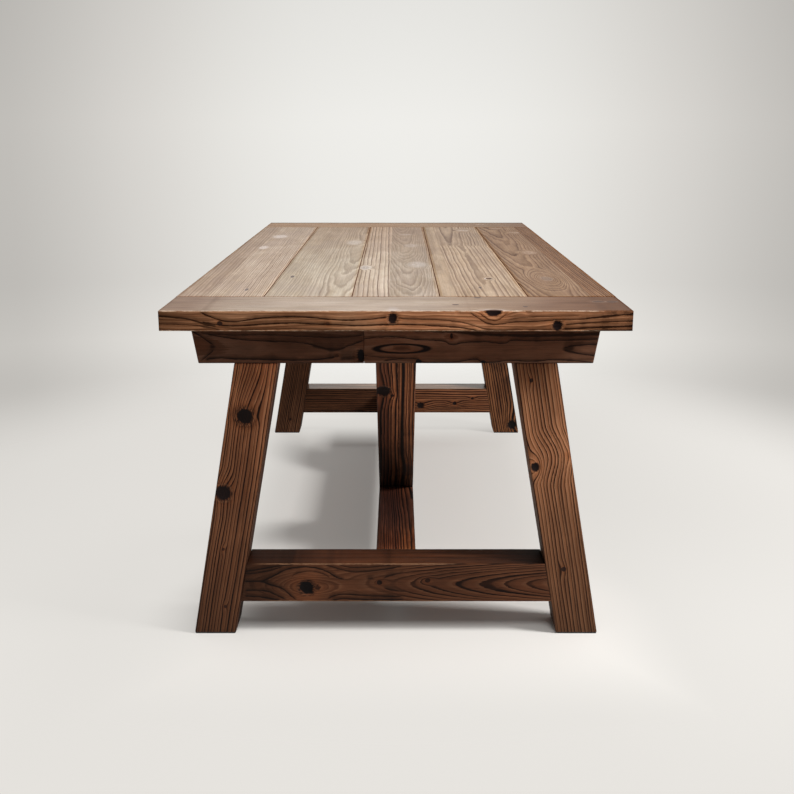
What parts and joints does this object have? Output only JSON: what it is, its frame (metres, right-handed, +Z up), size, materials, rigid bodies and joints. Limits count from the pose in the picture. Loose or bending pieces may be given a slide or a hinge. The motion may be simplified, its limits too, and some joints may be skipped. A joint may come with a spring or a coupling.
{
  "type": "trestle dining table",
  "caption": "Rustic trestle dining table: planked top with breadboard ends, splayed square legs, low stretcher and braces in a V.",
  "frame": {"origin": "on the floor, under the middle of the table", "axes": "+X across the table, +Y along it from the front end to the rear end, +Z up"},
  "size_m": [0.95, 2.07, 0.762],
  "materials": {
    "top_timber": "weathered softwood, washed brown stain, matt sealer",
    "base_timber": "brushed softwood, dark brown stain, matt sealer",
    "joint_wood": "plain hardwood, unfinished",
    "zinc_steel": "zinc plated",
    "brass": "dull threaded inserts",
    "glide_plastic": "dark nylon"
  },
  "bodies": {
    "root": {"top_plank_1": "top_timber", "top_plank_2": "top_timber", "top_plank_3": "top_timber", "top_plank_4": "top_timber", "top_plank_5": "top_timber", "breadboard_front": "top_timber", "breadboard_rear": "top_timber", "front_header_left": "base_timber", "front_header_right": "base_timber", "front_leg_left": "base_timber", "front_leg_right": "base_timber", "front_rail": "base_timber", "rear_header_left": "base_timber", "rear_header_right": "base_timber", "rear_leg_left": "base_timber", "rear_leg_right": "base_timber", "rear_rail": "base_timber", "stretcher": "base_timber", "front_brace": "base_timber", "rear_brace": "base_timber", "centre_batten": "base_timber", "plank_spline_1": "joint_wood", "plank_spline_2": "joint_wood", "plank_spline_3": "joint_wood", "plank_spline_4": "joint_wood", "breadboard_tenons_front": "joint_wood", "breadboard_tenons_rear": "joint_wood", "front_leg_tenons": "joint_wood", "rear_leg_tenons": "joint_wood", "front_header_splice": "joint_wood", "rear_header_splice": "joint_wood", "brace_dowels": "joint_wood", "top_bolts": "zinc_steel", "top_washers": "zinc_steel", "stretcher_rods": "zinc_steel", "stretcher_washers": "zinc_steel", "stretcher_nuts": "zinc_steel", "brace_screws": "zinc_steel", "batten_screws": "zinc_steel", "top_inserts": "brass", "front_glide_left": "glide_plastic", "front_glide_right": "glide_plastic", "rear_glide_left": "glide_plastic", "rear_glide_right": "glide_plastic"}
  },
  "joints": []
}
